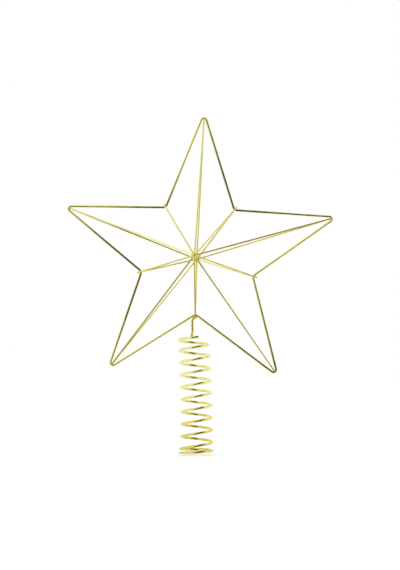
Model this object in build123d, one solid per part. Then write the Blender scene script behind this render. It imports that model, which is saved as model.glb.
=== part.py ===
from build123d import *
import math
import os

# Tree topper: a five-pointed star of welded wire on a coil that slips over a tree's top shoot.
# Millimetres and degrees. The coil's axis is Z and its foot is at z = 0; the star faces -Y.

# Wire gauges
outline_wire = 1.6
spoke_wire = 1.2
stem_wire = 2.0
coil_wire = 2.0

# Coil: an open right-hand helix, nearly closed and flared at its foot, easing off at its top
coil_outside = 24.2
base_outside = 27.0
flare_turns = 3.0
coil_turns = 10.5
coil_pitch = 9.1
closed_gap = 0.4
closed_turns = 0.9
opening_turns = 0.5
top_pitch = 6.3
top_turns = 1.5
coil_bow = 1.0
coil_start_angle = 100.0

# Stem: its foot lies forward across the coil's top strand, and a crank brings it under the star
foot_angle = 266.3
foot_overhang = 1.4
foot_bend = 3.0
stem_rise = 14.6
crank_shift = 2.45
crank_drop = 4.0
crank_bend = 2.5

# Star: corners of the outline's middle line before bending, and the bends' middle radii
point_count = 5
point_radius = 107.4
notch_radius = 43.6
point_bend = 2.0
notch_bend = 3.0
star_lean = 3.9

# Faces: where the spokes of a face aim, measured from the star's centre, and how far they overrun
apex_depth = 21.5
apex_shift = -1.7
apex_drop = 1.2
front_overrun = 2.6
back_overrun = 0.8
stem_overrun = 0.3

# Welds: the room for the bead over the stem, and the gaps left where wires are only spot welded
stem_weld_bridge = 0.9
weld_gap = 0.05
coil_gap = 0.2

outline_r = outline_wire / 2
spoke_r = spoke_wire / 2
stem_r = stem_wire / 2
coil_r = coil_wire / 2


def rod(start, end, radius):
    """A straight round wire with square-cut ends."""
    return Solid.make_cylinder(radius, (end - start).length, Plane(start, z_dir=end - start))


def tube(path, radius):
    """A round wire along a path."""
    return sweep(Plane(path @ 0, z_dir=path % 0) * Circle(radius), path=path)


# Coil: its middle line as a formula of the turns counted up from the foot
closed_pitch = coil_wire + closed_gap
pitch_stations = [
    (0, closed_pitch),
    (closed_turns, closed_pitch),
    (closed_turns + opening_turns, coil_pitch),
    (coil_turns - top_turns, coil_pitch),
    (coil_turns, top_pitch),
]


def coil_climb(turn):
    """Rise of the middle line over a number of turns, the pitch easing between its stations."""
    rise = 0.0
    for (low, low_pitch), (high, high_pitch) in zip(pitch_stations, pitch_stations[1:]):
        span = min(max(turn - low, 0), high - low)
        rise += span * (low_pitch + (high_pitch - low_pitch) * span / (high - low) / 2)
    return rise


def coil_point(turn):
    """The coil's middle line, rising anticlockwise seen from above and bowed a little sideways."""
    rise = coil_climb(turn)
    share = rise / coil_climb(coil_turns)
    flare = max(1 - turn / flare_turns, 0)
    radius = (coil_outside + (base_outside - coil_outside) * flare) / 2 - coil_r
    angle = math.radians(coil_start_angle + 360 * turn)
    sideways = 4 * coil_bow * share * (1 - share)
    return Vector(radius * math.cos(angle) + sideways, radius * math.sin(angle), coil_r + rise)


def coil_tangent(turn, step=1e-4):
    low = max(turn - step, 0)
    high = min(turn + step, coil_turns)
    return (coil_point(high) - coil_point(low)).normalized()


def biarc(start, start_tangent, end, end_tangent):
    """Two arcs that leave one point and reach another along given directions."""
    chord = end - start
    along = chord.dot(start_tangent + end_tangent)
    bend = 2 * (1 - start_tangent.dot(end_tangent))
    reach = (math.sqrt(along**2 + bend * chord.dot(chord)) - along) / bend
    leaving = start + start_tangent * reach
    arriving = end - end_tangent * reach
    middle = (leaving + arriving) / 2
    return [
        TangentArc(start, middle, tangent=start_tangent),
        TangentArc(middle, end, tangent=arriving - leaving),
    ]


knots = [turn / 2 for turn in range(math.floor(coil_turns * 2) + 1)]
first, last = coil_point(knots[0]), coil_point(knots[-1])
coil_edges = [Line(first - coil_tangent(knots[0]) * coil_wire, first)]
for low, high in zip(knots, knots[1:]):
    coil_edges += biarc(coil_point(low), coil_tangent(low), coil_point(high), coil_tangent(high))
coil_edges.append(Line(last, last + coil_tangent(knots[-1]) * coil_wire))
coil_path = Wire([edge.edge() for edge in coil_edges])
parts = {"coil": tube(coil_path, coil_r)}

samples_per_turn = 48
samples = round(coil_turns * samples_per_turn)
trail = [coil_path.position_at(i / samples) for i in range(samples + 1)]
apart = min(
    (trail[i] - trail[j]).length
    for i in range(len(trail))
    for j in range(i + samples_per_turn // 2, len(trail))
)
print(f"coil: least gap to itself {apart - coil_wire:.2f} mm, length {coil_path.length:.1f} mm")

# Stem: it stands on the last strand that passes the foot's angle and ends under the star's seat
foot_share = (foot_angle - coil_start_angle) / 360
foot_turn = math.floor(knots[-1] - foot_share) + foot_share
strand = coil_point(foot_turn)
strand_slope = coil_tangent(foot_turn)
foot_rise = (stem_r + coil_r + coil_gap) / math.hypot(strand_slope.X, strand_slope.Y)
foot = Vector(strand.X, strand.Y - foot_overhang, strand.Z + foot_rise)
heel = Vector(foot.X, 0, foot.Z)
seat = heel + Vector(crank_shift, 0, stem_rise)
crank = Vector(heel.X, 0, seat.Z - crank_drop)
stem_aim = (seat - crank).normalized()
stem_top = seat - stem_aim * (outline_r + stem_r * crank_shift / crank_drop + stem_weld_bridge)
parts["stem"] = tube(FilletPolyline(foot, heel, crank, stem_top, radius=[foot_bend, crank_bend]), stem_r)

# Star: its plane stands on the seat, where the middle of the outline's lowest notch lies
step_angle = 360 / point_count
lowest_notch = point_count // 2
notch_angles = [180 + step_angle * (k - lowest_notch) for k in range(point_count)]
point_angles = [angle - step_angle / 2 for angle in notch_angles]
half_step = math.radians(step_angle / 2)
half_point = math.atan2(
    notch_radius * math.sin(half_step), point_radius - notch_radius * math.cos(half_step)
)
half_notch = half_point + half_step
notch_middle = notch_radius + notch_bend * (1 / math.sin(half_notch) - 1)
lean = math.radians(star_lean)
upright = Vector(math.sin(lean), 0, math.cos(lean))
star_plane = Plane(
    origin=seat + upright * notch_middle,
    x_dir=(math.cos(lean), 0, -math.sin(lean)),
    z_dir=(0, -1, 0),
)


def polar(radius, angle):
    """A point of the star's own plane, its angle counted clockwise from the top point."""
    a = math.radians(angle)
    return Vector(radius * math.sin(a), radius * math.cos(a))


def in_star(flat, height=0.0):
    """The place of a point of the star's plane, raised towards the front by a height."""
    return star_plane.from_local_coords(Vector(flat.X, flat.Y, height))


# Outline: one wire, bent tight at the points and softly in the notches, closed by a butt weld
corners = []
bends = []
for point_angle, notch_angle in zip(point_angles, notch_angles):
    corners += [in_star(polar(point_radius, point_angle)), in_star(polar(notch_radius, notch_angle))]
    bends += [point_bend, notch_bend]
parts["star_outline"] = tube(FilletPolyline(*corners, radius=bends, close=True), outline_r)

# Spokes: each face has one to every point and one to every notch, all aimed at its apex. There they
# butt against a bead just big enough to keep neighbours from touching.
apex_flat = Vector(apex_shift, -apex_drop)
cross_gap = outline_r + spoke_r + weld_gap
twin_gap = spoke_r + weld_gap / 2
nest = math.sqrt(cross_gap**2 - twin_gap**2)
nest_bend = max(nest, point_bend)
point_reach = point_radius - nest_bend / math.sin(half_point) + nest_bend - nest


def point_end(angle):
    """A point spoke stops inside the bend, against both runs of the outline and its twin."""
    return polar(point_reach, angle), twin_gap


def notch_end(angle, overrun):
    """A notch spoke lies across the outline and runs on past it."""
    run = polar(notch_middle, angle) - apex_flat
    slope = math.atan2(apex_depth, run.length) - math.asin(cross_gap / math.hypot(apex_depth, run.length))
    reach = run.length + overrun
    return apex_flat + run.normalized() * reach, apex_depth - reach * math.tan(slope)


faces = {"front": (1, front_overrun), "back": (-1, back_overrun)}
for face, (side, overrun) in faces.items():
    apex = in_star(apex_flat, side * apex_depth)
    ends = {}
    for k in range(point_count):
        notch_overrun = stem_overrun if k == lowest_notch else overrun
        ends[f"{face}_point_spoke_{k + 1}"] = point_end(point_angles[k])
        ends[f"{face}_notch_spoke_{k + 1}"] = notch_end(notch_angles[k], notch_overrun)
    tips = {name: in_star(flat, side * depth) for name, (flat, depth) in ends.items()}
    aims = [(tip - apex).normalized() for tip in tips.values()]
    closest = min(a.get_angle(b) for a, b in zip(aims, aims[1:] + aims[:1]))
    bead_radius = (spoke_wire + weld_gap) / (2 * math.sin(math.radians(closest / 2)))
    for (name, tip), aim in zip(tips.items(), aims):
        parts[name] = rod(apex + aim * (bead_radius + weld_gap), tip, spoke_r)
    parts[f"{face}_apex_weld"] = Pos(apex) * Sphere(bead_radius)

# Stem weld: a bead on the notch's axis that just clears the outline above it and the stem's end below
slant = upright.dot(stem_aim)
stem_weld_radius = ((seat - stem_top).length - outline_r * slant - weld_gap * (1 + slant)) / (1 + slant)
stem_weld_drop = outline_r + weld_gap + stem_weld_radius
parts["stem_weld"] = Pos(seat - upright * stem_weld_drop) * Sphere(stem_weld_radius)

os.makedirs("parts", exist_ok=True)
for name, shape in parts.items():
    export_step(shape, f"parts/{name}.step")
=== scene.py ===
import math
import bmesh
import bpy
import numpy as np
from mathutils import Matrix, Vector, noise


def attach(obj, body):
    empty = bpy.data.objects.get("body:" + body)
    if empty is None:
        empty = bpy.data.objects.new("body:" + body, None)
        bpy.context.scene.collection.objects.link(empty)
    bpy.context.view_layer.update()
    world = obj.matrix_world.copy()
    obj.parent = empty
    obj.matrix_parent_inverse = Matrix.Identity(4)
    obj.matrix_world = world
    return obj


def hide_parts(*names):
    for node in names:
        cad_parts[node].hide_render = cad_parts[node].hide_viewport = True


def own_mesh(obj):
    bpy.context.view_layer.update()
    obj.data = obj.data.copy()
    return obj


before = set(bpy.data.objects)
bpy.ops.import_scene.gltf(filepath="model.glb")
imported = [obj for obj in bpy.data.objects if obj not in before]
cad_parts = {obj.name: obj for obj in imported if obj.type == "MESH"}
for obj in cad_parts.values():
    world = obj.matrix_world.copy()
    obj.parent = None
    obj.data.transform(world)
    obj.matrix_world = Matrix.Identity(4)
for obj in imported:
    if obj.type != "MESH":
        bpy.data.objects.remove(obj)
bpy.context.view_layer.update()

# Star outline: one length of bright plated steel wire, bent tight at five points and softly in five
# notches in the flat, then closed by a butt weld. It leans a little to the right, and the spokes and
# the stem are welded to it.

outline_gauge = 0.0016
point_count = 5
point_radius = 0.1074
notch_radius = 0.0436
point_bend = 0.002
notch_bend = 0.003
star_lean = math.radians(3.9)
star_middle = Vector((0.004754, 0, 0.147448))

# Angles in degrees clockwise from the top point, and the radius at which a bent notch's wire lies
step = 360 / point_count
point_angles = [step * k for k in range(point_count)]
notch_angles = [angle + step / 2 for angle in point_angles]
lowest_notch = 180
half_step = math.radians(step / 2)
half_point = math.atan2(
    notch_radius * math.sin(half_step), point_radius - notch_radius * math.cos(half_step)
)
notch_middle = notch_radius + notch_bend * (1 / math.sin(half_point + half_step) - 1)


def in_star(angle, radius, forward=0.0):
    """A place by its angle and radius on the star, moved towards the front."""
    turn = math.radians(angle) + star_lean
    return star_middle + Vector((radius * math.sin(turn), -forward, radius * math.cos(turn)))


class Socket:
    """An output of a node. An expression written with it adds the Math nodes that work it out."""

    def __init__(self, nodes, out):
        self.nodes = nodes
        self.out = out

    def beside(self, name):
        """Another output of the same node."""
        return Socket(self.nodes, self.out.node.outputs[name])

    def worked(self, operation, *others):
        """A Math node on this value and the others."""
        terms = dict(enumerate((self, *others)))
        return self.nodes.add("ShaderNodeMath", {"operation": operation}, terms)

    def __add__(self, other):
        return self.worked("ADD", other)

    def __sub__(self, other):
        return self.worked("SUBTRACT", other)

    def __rsub__(self, other):
        return self.nodes.add("ShaderNodeMath", {"operation": "SUBTRACT"}, {0: other, 1: self})

    def __mul__(self, other):
        return self.worked("MULTIPLY", other)

    def __truediv__(self, other):
        return self.worked("DIVIDE", other)

    def __gt__(self, other):
        return self.worked("GREATER_THAN", other)

    def at_least(self, other):
        return self.worked("MAXIMUM", other)

    def at_most(self, other):
        return self.worked("MINIMUM", other)

    __radd__ = __add__
    __rmul__ = __mul__


class Nodes:
    """A node tree. add() takes a node's type, its settings and what feeds its sockets."""

    def __init__(self, tree):
        self.tree = tree

    def add(self, kind, settings=None, feeds=None, out=0):
        node = self.tree.nodes.new(kind)
        for name, value in (settings or {}).items():
            setattr(node, name, value)
        self.feed(node, feeds or {})
        return Socket(self, node.outputs[out]) if len(node.outputs) else None

    def feed(self, node, feeds):
        for key, value in feeds.items():
            if isinstance(value, Socket):
                self.tree.links.new(value.out, node.inputs[key])
            else:
                node.inputs[key].default_value = value

    def surface(self, feeds):
        """Feeds the shader that a new material starts with."""
        self.feed(self.tree.nodes["Principled BSDF"], feeds)

    def split(self, vector):
        return [self.add("ShaderNodeSeparateXYZ", {}, {0: vector}, axis) for axis in "XYZ"]

    def join(self, x, y, z):
        return self.add("ShaderNodeCombineXYZ", {}, {0: x, 1: y, 2: z})

    def mix(self, factor, first, second):
        feeds = {0: factor, 6: first, 7: second}
        return self.add("ShaderNodeMix", {"data_type": "RGBA"}, feeds, 2)

    def mottle(self, place, scale, detail):
        feeds = {"Vector": place, "Scale": scale, "Detail": detail}
        return self.add("ShaderNodeTexNoise", {}, feeds, "Fac")

    def keep(self, geometry, name, value, kind="FLOAT"):
        """Stores a value on the points, for the material to read by its name."""
        return self.add(
            "GeometryNodeStoreNamedAttribute",
            {"data_type": kind, "domain": "POINT"},
            {"Geometry": geometry, "Name": name, "Value": value},
        )


def placed(name, data):
    """A new object in the scene."""
    item = bpy.data.objects.new(name, data)
    bpy.context.scene.collection.objects.link(item)
    return item


def marks(name, places, lines=()):
    """A bare mesh of places and of the lines between them."""
    mesh = bpy.data.meshes.new(name)
    mesh.from_pydata(places, lines, [])
    return mesh


def grow(name, sizes, material, build, base=None):
    """A plain mesh from a Geometry Nodes tree whose named inputs are its sizes."""
    kinds = {float: "NodeSocketFloat", int: "NodeSocketInt", bpy.types.Object: "NodeSocketObject"}
    inputs = {"Geometry": "NodeSocketGeometry"}
    inputs.update({label: kinds[type(value)] for label, value in sizes.items()})
    tree = bpy.data.node_groups.new(name, "GeometryNodeTree")
    sockets = {
        label: tree.interface.new_socket(label, in_out="INPUT", socket_type=kind)
        for label, kind in inputs.items()
    }
    tree.interface.new_socket("Geometry", in_out="OUTPUT", socket_type="NodeSocketGeometry")
    nodes = Nodes(tree)
    entry = nodes.add("NodeGroupInput", out="Geometry")
    given = {label: entry.beside(label) for label in inputs}
    shape = nodes.add("GeometryNodeRealizeInstances", {}, {0: build(nodes, given)})
    shape = nodes.add("GeometryNodeSetMaterial", {}, {"Geometry": shape, "Material": material})
    nodes.add("NodeGroupOutput", {}, {0: shape})
    piece = placed(name, base or bpy.data.meshes.new(name))
    modifier = piece.modifiers.new(name, "NODES")
    modifier.node_group = tree
    for label, value in sizes.items():
        modifier[sockets[label].identifier] = value
    graph = bpy.context.evaluated_depsgraph_get()
    mesh = bpy.data.meshes.new_from_object(
        piece.evaluated_get(graph), preserve_all_data_layers=True, depsgraph=graph
    )
    piece.modifiers.clear()
    piece.data = mesh
    mesh.name = name
    return piece


# Places of the welds, whose heat tints the wires near them
apex_depth = 0.0215
apex_angle = 234.8
apex_offset = 0.002081
apexes = {
    "front": in_star(apex_angle, apex_offset, apex_depth),
    "back": in_star(apex_angle, apex_offset, -apex_depth),
}
notch_welds = [
    in_star(angle, notch_middle, forward)
    for angle in notch_angles
    for forward in (outline_gauge / 2, -outline_gauge / 2)
]
point_weld_radius = 0.1029
point_welds = [in_star(angle, point_weld_radius) for angle in point_angles]
stem_foot = Vector((-0.000705, -0.012477, 0.088713))
foot_overhang = 0.001397
foot_weld_drop = 0.001113
foot_weld = stem_foot + Vector((0, foot_overhang, -foot_weld_drop))
weld_places = placed(
    "weld_places", marks("weld_places", [*apexes.values(), *notch_welds, *point_welds, foot_weld])
)


def skin(nodes, curve, gauge, welds, sides, start=0.0):
    """Round wire along a curve, with its draw direction and the heat of nearby welds kept on it."""
    heat_reach = 0.006
    length = nodes.add("GeometryNodeSplineParameter", out="Length")
    curve = nodes.keep(curve, "along", length + start)
    ring = nodes.add(
        "GeometryNodeCurvePrimitiveCircle", {}, {"Resolution": sides, "Radius": gauge * 0.5}
    )
    ring = nodes.keep(ring, "across", nodes.add("GeometryNodeInputPosition"), "FLOAT_VECTOR")
    wire = nodes.add(
        "GeometryNodeCurveToMesh", {}, {"Curve": curve, "Profile Curve": ring, "Fill Caps": True}
    )
    spots = nodes.add("GeometryNodeObjectInfo", {}, {"Object": welds}, "Geometry")
    apart = nodes.add("GeometryNodeProximity", {"target_element": "POINTS"}, {0: spots}, "Distance")
    heat = (1 - apart / heat_reach).at_least(0)
    wire = nodes.keep(wire, "heat", heat * heat)
    return nodes.add("GeometryNodeSetShadeSmooth", {}, {0: wire})


def new_finish(name):
    """A new material and its nodes."""
    material = bpy.data.materials.new(name)
    material.use_nodes = True
    return material, Nodes(material.node_tree)


even = 0.5  # the middle of a noise


def plated_wire(name, pale, deep, rough, reflection_drift, seed):
    """Gold over drawn wire: painted reflection that darkens or pales whole stretches along it, fine draw
    lines and a warm tint at welds.
    """
    lines_across = 4200
    lines_along = 60
    line_shade = 0.4
    line_dull = 0.14
    cloud_dull = 0.1
    reflection_onset = 0.33
    reflection_gain = 2.6
    weld_tint = (0.68, 0.50, 0.17, 1)
    weld_strength = 0.35
    weld_shade = 0.6
    weld_dull = 0.2
    least_dull = 0.05
    material, nodes = new_finish(name)
    along = nodes.add("ShaderNodeAttribute", {"attribute_name": "along"}, out="Fac")
    heat = nodes.add("ShaderNodeAttribute", {"attribute_name": "heat"}, out="Fac")
    across = nodes.add("ShaderNodeAttribute", {"attribute_name": "across"}, out="Vector")
    across_x, across_y, _ = nodes.split(across)
    drawn = nodes.join(across_x * lines_across, across_y * lines_across, along * lines_along)
    lines = nodes.mottle(drawn, scale=1.0, detail=3.0)
    # Painted reflection: a slow noise along the wire makes whole stretches darker or paler, and its seed
    # sets where the painted dark reflections fall
    painted_reflection = nodes.add(
        "ShaderNodeTexNoise",
        {"noise_dimensions": "1D"},
        {"W": along * reflection_drift + seed, "Scale": 1.0, "Detail": 0.0},
        "Fac",
    )
    place = nodes.add("ShaderNodeTexCoord", out="Object")
    cloud = nodes.mottle(place, scale=140.0, detail=4.0)
    speck = nodes.mottle(place, scale=2600.0, detail=2.0)
    shade = (painted_reflection - reflection_onset) * reflection_gain + (cloud - even) + (lines - even) * line_shade
    colour = nodes.mix(shade.at_least(0).at_most(1), (*pale, 1), (*deep, 1))
    tint = (heat * (weld_strength + speck)).at_most(1)
    colour = nodes.mix(tint * weld_shade, colour, weld_tint)
    dull = rough + (lines - even) * line_dull + (cloud - even) * cloud_dull + tint * weld_dull
    relief = nodes.add(
        "ShaderNodeBump", {}, {"Strength": 0.12, "Distance": 0.00003, "Height": lines + speck * tint}
    )
    dull = dull.at_least(least_dull)
    nodes.surface({"Base Color": colour, "Roughness": dull, "Normal": relief, "Metallic": 1.0})
    return material


def bent_star(nodes, given):
    """The outline's line, bent flat with its first point to the right, then turned up and stood up."""
    bend_steps = 12
    long_stretch = 0.005
    stretch_cuts = 48
    corners = {label: given[label] for label in ("Points", "Inner Radius", "Outer Radius")}
    curve = nodes.add("GeometryNodeCurveStar", {}, corners, "Curve")
    at_point = curve.beside("Outer Points")
    bend = given["Notch Bend"] + at_point * (given["Point Bend"] - given["Notch Bend"])
    curve = nodes.add(
        "GeometryNodeFilletCurve",
        {"mode": "POLY"},
        {"Curve": curve, "Count": bend_steps, "Radius": bend},
    )
    here = nodes.add("GeometryNodeInputPosition")
    following = nodes.add("GeometryNodeOffsetPointInCurve", {}, {"Offset": 1}, "Point Index")
    there = nodes.add(
        "GeometryNodeFieldAtIndex", {"data_type": "FLOAT_VECTOR"}, {"Index": following, "Value": here}
    )
    stretch = nodes.add("ShaderNodeVectorMath", {"operation": "DISTANCE"}, {0: here, 1: there}, "Value")
    cuts = (stretch > long_stretch) * stretch_cuts
    curve = nodes.add("GeometryNodeSubdivideCurve", {}, {"Curve": curve, "Cuts": cuts})
    point_up = nodes.join(0.0, 0.0, math.pi / 2 - given["Lean"])
    stood_up = (math.pi / 2, 0, 0)
    centre = nodes.join(given["Centre X"], 0.0, given["Centre Z"])
    for move in ({"Rotation": point_up}, {"Rotation": stood_up}, {"Translation": centre}):
        curve = nodes.add("GeometryNodeTransform", {}, {"Geometry": curve, **move})
    return skin(nodes, curve, given["Gauge"], given["Welds"], sides=20)


# The outline's seed and its near-black deep colour paint dark reflections on whole runs of the star
outline_gold = plated_wire(
    "outline_gold", pale=(0.82, 0.77, 0.20), deep=(0.24, 0.20, 0.01), rough=0.12, reflection_drift=9, seed=78.5
)
outline = grow(
    "star_outline_wire",
    {
        "Points": point_count,
        "Outer Radius": point_radius,
        "Inner Radius": notch_radius,
        "Point Bend": point_bend,
        "Notch Bend": notch_bend,
        "Gauge": outline_gauge,
        "Lean": star_lean,
        "Centre X": star_middle.x,
        "Centre Z": star_middle.z,
        "Welds": weld_places,
    },
    outline_gold,
    bent_star,
)
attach(outline, "star")
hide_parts("star_outline")

# Spokes: twenty straight lengths of thinner plated wire, cut square. Each runs from an apex weld to a
# point or a notch, and its line is read from the solid that it dresses.

spoke_gauge = 0.0012
# This spacing also sets each spoke's share of the painted reflection
spoke_stretch = 0.65  # how far apart along the drawn wire two spokes were cut
# The spokes' seed sets which spokes carry painted dark reflections
spoke_gold = plated_wire(
    "spoke_gold", pale=(0.96, 0.92, 0.34), deep=(0.52, 0.455, 0.06), rough=0.15, reflection_drift=4, seed=2770.5
)
spoke_names = sorted(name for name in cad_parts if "_spoke_" in name)
spoke_ends = []
for name in spoke_names:
    solid = np.array([v.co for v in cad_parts[name].data.vertices])
    middle = solid.mean(axis=0)
    aim = np.linalg.svd(solid - middle, full_matrices=False)[2][0]
    reach = (solid - middle) @ aim
    spoke_ends += [middle + aim * reach.min(), middle + aim * reach.max()]
spoke_lines = marks("spoke_lines", spoke_ends, [(i, i + 1) for i in range(0, len(spoke_ends), 2)])


def straight_wires(nodes, given):
    """The spokes' lines, each on its own stretch of the drawn wire."""
    curve = nodes.add("GeometryNodeMeshToCurve", {}, {"Mesh": given["Geometry"]})
    curve = nodes.add("GeometryNodeResampleCurve", {}, {"Curve": curve, "Count": given["Rings"]})
    number = (nodes.add("GeometryNodeInputIndex") / given["Rings"]).worked("FLOOR")
    start = number * spoke_stretch
    return skin(nodes, curve, given["Gauge"], given["Welds"], sides=18, start=start)


spokes = grow(
    "spoke_wires",
    {"Gauge": spoke_gauge, "Rings": 48, "Welds": weld_places},
    spoke_gold,
    straight_wires,
    spoke_lines,
)
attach(spokes, "star")
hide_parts(*spoke_names)

# Stem: a short length of the coil's plated wire. Its foot is bent forward over the coil's top strand,
# and a small crank near its top brings it under the star's lowest notch, where it is welded.

coil_gauge = 0.002
foot_bend = 0.003
crank_bend = 0.0025
crank_drop = 0.004
stem_short = 0.0023125  # how far below the notch's wire it ends, with room for the weld
seat = in_star(lowest_notch, notch_middle)
heel = Vector((stem_foot.x, 0, stem_foot.z))
crank = Vector((heel.x, 0, seat.z - crank_drop))
stem_top = seat - (seat - crank).normalized() * stem_short
# Painted shade: with this drift and seed the coil is darker and more amber towards its foot and paler up
# top
coil_gold = plated_wire(
    "coil_gold", pale=(0.88, 0.83, 0.31), deep=(0.76, 0.65, 0.16), rough=0.14, reflection_drift=1.5, seed=375.5
)
stem_line = marks("stem_line", [stem_foot, heel, crank, stem_top], [(0, 1), (1, 2), (2, 3)])
stem_bends = stem_line.attributes.new("bend", "FLOAT", "POINT")
stem_bends.data.foreach_set("value", [0, foot_bend, crank_bend, 0])


def bent_stem(nodes, given):
    """The stem's line, rounded at its heel and its crank."""
    curve = nodes.add("GeometryNodeMeshToCurve", {}, {"Mesh": given["Geometry"]})
    bend = nodes.add("GeometryNodeInputNamedAttribute", {"data_type": "FLOAT"}, {"Name": "bend"})
    curve = nodes.add(
        "GeometryNodeFilletCurve", {"mode": "POLY"}, {"Curve": curve, "Count": 24, "Radius": bend}
    )
    curve = nodes.add("GeometryNodeSubdivideCurve", {}, {"Curve": curve, "Cuts": 2})
    return skin(nodes, curve, given["Gauge"], given["Welds"], sides=24)


stem = grow("stem_wire", {"Gauge": coil_gauge, "Welds": weld_places}, coil_gold, bent_stem, stem_line)
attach(stem, "star")
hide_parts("stem")

# Weld beads: small lumps of melted wire, plated over. One lies in each apex where ten spokes meet,
# and one under the lowest notch; each swells a little along every wire that runs into it. A smaller
# one rounds off the end of the stem's foot.

apex_bead_radius = 0.0019
apex_bead_swell = 0.0011
stem_bead_radius = 0.0014
stem_bead_swell = 0.0005
stem_bead_place = seat + Vector((-0.0004, 0, -0.0014))
stem_run = Vector((-0.52, 0, -0.85))
foot_bead_radius = 0.00096


def weld_metal(name):
    """Plated weld metal: warmer and duller than the wire, pitted and rippled."""
    pale = (0.86, 0.79, 0.24, 1)
    deep = (0.74, 0.61, 0.12, 1)
    rough = 0.24
    ripple_gain = 2.6
    ripple_cut = 0.8
    ripple_dull = 0.2
    pit_depth = 0.3
    material, nodes = new_finish(name)
    place = nodes.add("ShaderNodeTexCoord", out="Object")
    ripple = nodes.mottle(place, scale=900.0, detail=4.0)
    pits = nodes.add("ShaderNodeTexVoronoi", {}, {"Vector": place, "Scale": 1900.0}, "Distance")
    shade = (ripple * ripple_gain - ripple_cut).at_least(0).at_most(1)
    colour = nodes.mix(shade, pale, deep)
    dull = rough + shade * ripple_dull
    relief = nodes.add(
        "ShaderNodeBump", {}, {"Strength": 0.35, "Distance": 0.0001, "Height": ripple + pits * pit_depth}
    )
    nodes.surface({"Base Color": colour, "Roughness": dull, "Normal": relief, "Metallic": 1.0})
    return material


weld_gold = weld_metal("weld_gold")


def bead(name, centre, radius, swell, runs):
    """A lumpy bead, drawn out by a swell along each wire that runs from it."""
    sharpness = 34
    coarse_lumps = 1.7
    coarse_height = 0.16
    fine_lumps = 4.5
    fine_height = 0.05
    patch_spread = 900  # takes each bead to its own patch of the noise
    mesh = bpy.data.meshes.new(name)
    shape = bmesh.new()
    bmesh.ops.create_icosphere(shape, subdivisions=5, radius=1.0)
    for vertex in shape.verts:
        out = vertex.co.normalized()
        drawn = sum(math.exp(sharpness * (out.dot(run) - 1)) for run in runs)
        lump = noise.noise(out * coarse_lumps + centre * patch_spread) * coarse_height
        lump += noise.noise(out * fine_lumps) * fine_height
        vertex.co = centre + out * (radius * (1 + lump) + swell * min(drawn, 1.0))
    for face in shape.faces:
        face.smooth = True
    shape.to_mesh(mesh)
    shape.free()
    mesh.materials.append(weld_gold)
    piece = placed(name, mesh)
    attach(piece, "star")
    return piece


for face, apex in apexes.items():
    spoke_runs = []
    for name, start, end in zip(spoke_names, spoke_ends[::2], spoke_ends[1::2]):
        if name.startswith(face):
            far = max(Vector(start), Vector(end), key=lambda tip: (tip - apex).length)
            spoke_runs.append((far - apex).normalized())
    apex_bead = bead(f"{face}_apex_bead", apex, apex_bead_radius, apex_bead_swell, spoke_runs)
    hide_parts(f"{face}_apex_weld")

outline_runs = [
    (in_star(angle, point_radius) - seat).normalized()
    for angle in (lowest_notch - step / 2, lowest_notch + step / 2)
]
stem_bead = bead(
    "stem_bead", stem_bead_place, stem_bead_radius, stem_bead_swell, [*outline_runs, stem_run]
)
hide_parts("stem_weld")
bead("stem_foot_bead", stem_foot, foot_bead_radius, 0.0, [])

# Spot welds: where a spoke crosses or meets the outline, and where the stem's foot lies on the coil,
# a little metal has been squeezed out between the two wires. The lowest notch has its bead instead.

nugget_radius = 0.00085
nugget_ripple = 0.0008
crossings = [weld for weld in notch_welds if (weld - seat).length > outline_gauge]
nugget_places = marks("nugget_places", [*crossings, *point_welds, foot_weld])


def nuggets(nodes, given):
    """A rippled lump on each place, no two of one size or turned alike."""
    vector = {"data_type": "FLOAT_VECTOR"}
    least_size, most_size = (0.85, 0.75, 0.85), (1.25, 1.0, 1.25)
    least_turn, most_turn = (0, -3, 0), (0.3, 3, 0.3)
    lump = nodes.add(
        "GeometryNodeMeshIcoSphere", {}, {"Radius": given["Radius"], "Subdivisions": 4}, "Mesh"
    )
    size = nodes.add("FunctionNodeRandomValue", vector, {0: least_size, 1: most_size, "Seed": 5})
    turn = nodes.add("FunctionNodeRandomValue", vector, {0: least_turn, 1: most_turn, "Seed": 11})
    lumps = nodes.add(
        "GeometryNodeInstanceOnPoints",
        {},
        {"Points": given["Geometry"], "Instance": lump, "Rotation": turn, "Scale": size},
    )
    lumps = nodes.add("GeometryNodeRealizeInstances", {}, {0: lumps})
    ripple = nodes.mottle(nodes.add("GeometryNodeInputPosition"), scale=1100.0, detail=1.0)
    outwards = nodes.add("GeometryNodeInputNormal")
    height = (ripple - even) * given["Ripple"]
    push = nodes.add(
        "ShaderNodeVectorMath", {"operation": "SCALE"}, {0: outwards, "Scale": height}
    )
    lumps = nodes.add("GeometryNodeSetPosition", {}, {"Geometry": lumps, "Offset": push})
    return nodes.add("GeometryNodeSetShadeSmooth", {}, {0: lumps})


spots = grow(
    "spot_welds", {"Radius": nugget_radius, "Ripple": nugget_ripple}, weld_gold, nuggets, nugget_places
)
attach(spots, "star")

# Coil: one length of plated spring wire wound to the right, nearly closed and flared at the foot where
# the tree's top shoot goes in, then open up to its cut end under the stem's foot.

coil_radius = 0.0111
coil_foot_radius = 0.0125
coil_bow = 0.001
coil_turns = 10.5
coil_start = math.radians(100)
coil_tail = 0.029  # the straight wire before the first turn and after the last, in turns
flare_turns = 3.0
closed_pitch = 0.0024
closed_turns = 0.9
opening_turns = 0.5
open_pitch = 0.0091
top_pitch = 0.0063
top_turns = 1.5
pitch_stations = [
    (0, closed_pitch),
    (closed_turns, closed_pitch),
    (closed_turns + opening_turns, open_pitch),
    (coil_turns - top_turns, open_pitch),
    (coil_turns, top_pitch),
]
bow_rise = 0.086  # how far up the coil its bow runs


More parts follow.
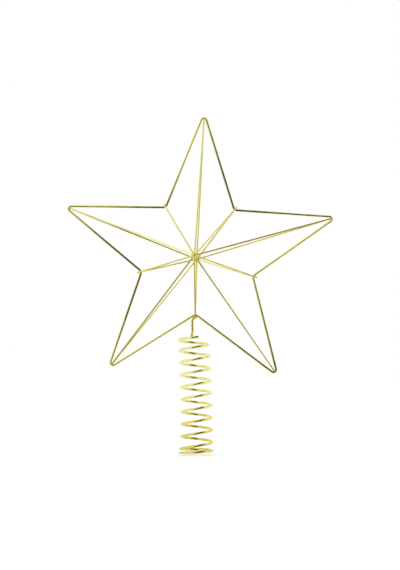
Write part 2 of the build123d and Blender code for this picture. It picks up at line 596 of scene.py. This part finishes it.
def wound_coil(nodes, given):
    """The coil's line, its pitch easing from one station to the next."""
    count = 880
    turns_between = (coil_turns + 2 * coil_tail) / (count - 1)
    line = nodes.add("GeometryNodeMeshLine", {}, {"Count": count})
    turn = nodes.add("GeometryNodeInputIndex") * turns_between - coil_tail
    climb = turn.at_most(0) * closed_pitch + (turn - coil_turns).at_least(0) * top_pitch
    for (low, low_pitch), (high, high_pitch) in zip(pitch_stations, pitch_stations[1:]):
        easing = (high_pitch - low_pitch) / (high - low) / 2
        span = (turn - low).at_least(0).at_most(high - low)
        climb = climb + span * low_pitch + span * span * easing
    flare = (1 - turn / flare_turns).at_least(0)
    radius = flare * (given["Foot Radius"] - given["Radius"]) + given["Radius"]
    angle = turn * math.tau + coil_start
    share = climb / bow_rise
    bow = share * (1 - share) * 4 * given["Bow"]
    place = nodes.join(
        radius * angle.worked("COSINE") + bow,
        radius * angle.worked("SINE"),
        climb + given["Gauge"] * 0.5,
    )
    line = nodes.add("GeometryNodeSetPosition", {}, {"Geometry": line, "Position": place})
    curve = nodes.add("GeometryNodeMeshToCurve", {}, {"Mesh": line})
    return skin(nodes, curve, given["Gauge"], given["Welds"], sides=24)


coil = grow(
    "coil_wire",
    {
        "Gauge": coil_gauge,
        "Radius": coil_radius,
        "Foot Radius": coil_foot_radius,
        "Bow": coil_bow,
        "Welds": weld_places,
    },
    coil_gold,
    wound_coil,
)
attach(coil, "coil")
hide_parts("coil")
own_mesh(coil)
bpy.data.objects.remove(weld_places)

# Floor: a plain white board under the coil's foot, lit to plain white but for the coil's faint shadow.
# The bright wire doesn't mirror it, so that it shows the tent all round.

floor_radius = 6.0
floor_drop = 0.0004
board = bpy.data.meshes.new("floor")
shape = bmesh.new()
bmesh.ops.create_circle(
    shape,
    cap_ends=True,
    segments=96,
    radius=floor_radius,
    matrix=Matrix.Translation((0, 0, -floor_drop)),
)
shape.to_mesh(board)
shape.free()
white, nodes = new_finish("floor_white")
nodes.surface({"Base Color": (0.9, 0.9, 0.9, 1), "Roughness": 0.9, "Specular IOR Level": 0.0})
nodes.surface({"Emission Color": (1, 1, 1, 1), "Emission Strength": 0.3})
board.materials.append(white)
floor = placed("floor", board)
floor.visible_glossy = False

# Studio: a white light tent all round, with one slanting slit to the right of the camera, through which
# the dim room shows as dark lines in the bright wire. The camera sees plain white behind the star.

slit_bearing = math.radians(26)
slit_height = math.radians(8)
slit_slant = math.radians(64)
slit_half_length = math.radians(88)
slit_half_width = math.radians(29)
dim_room = (0.03, 0.03, 0.03, 1)
plain_white = (1, 1, 1, 1)
world = bpy.data.worlds.new("tent")
bpy.context.scene.world = world
world.use_nodes = True
world.node_tree.nodes.clear()
nodes = Nodes(world.node_tree)
x, y, z = nodes.split(nodes.add("ShaderNodeTexCoord", out="Generated"))
aside = x.worked("ARCTAN2", y * -1) - slit_bearing
above = z.worked("ARCSINE") - slit_height
along = (aside * math.cos(slit_slant) + above * math.sin(slit_slant)) / slit_half_length
across = (aside * math.sin(slit_slant) - above * math.cos(slit_slant)) / slit_half_width
off = (along * along + across * across).worked("SQRT")
slit = nodes.add(
    "ShaderNodeMapRange",
    {"interpolation_type": "SMOOTHSTEP"},
    {"Value": off, "From Min": 0.9, "From Max": 1.1, "To Min": 1.0, "To Max": 0.0},
)
tent = nodes.mix(slit, plain_white, dim_room)
camera_ray = nodes.add("ShaderNodeLightPath", out="Is Camera Ray")
through_ray = camera_ray.beside("Is Transmission Ray")
mirror_ray = camera_ray.beside("Is Glossy Ray")
seen = camera_ray.at_least(through_ray).at_least(mirror_ray * (1 - slit))
glow = nodes.add("ShaderNodeBackground", {}, {"Color": tent, "Strength": 1.0})
plain = nodes.add("ShaderNodeBackground", {}, {"Color": plain_white, "Strength": 1.0})
shown = nodes.add("ShaderNodeMixShader", {}, {0: seen, 1: glow, 2: plain})
nodes.add("ShaderNodeOutputWorld", {}, {"Surface": shown})
bpy.context.scene.view_settings.view_transform = "Standard"

# Camera: a long lens at about the height of the coil's middle, a little to the right of the star, held
# slightly askew.

picture_width = 400  # pixels, as the focal length
focal_length = 1749.4
camera_place = Vector((0.0532, -1.3, 0.05661))
turned_left = math.radians(2.09)
tilted_up = math.radians(3.04)
rolled = math.radians(-1.40)
lens = bpy.data.cameras.new("camera")
lens.sensor_fit = "HORIZONTAL"
lens.sensor_width = 36.0
lens.lens = focal_length * lens.sensor_width / picture_width
camera = placed("camera", lens)
camera.matrix_world = (
    Matrix.Translation(camera_place)
    @ Matrix.Rotation(turned_left, 4, "Z")
    @ Matrix.Rotation(math.pi / 2 + tilted_up, 4, "X")
    @ Matrix.Rotation(rolled, 4, "Z")
)
bpy.context.scene.camera = camera
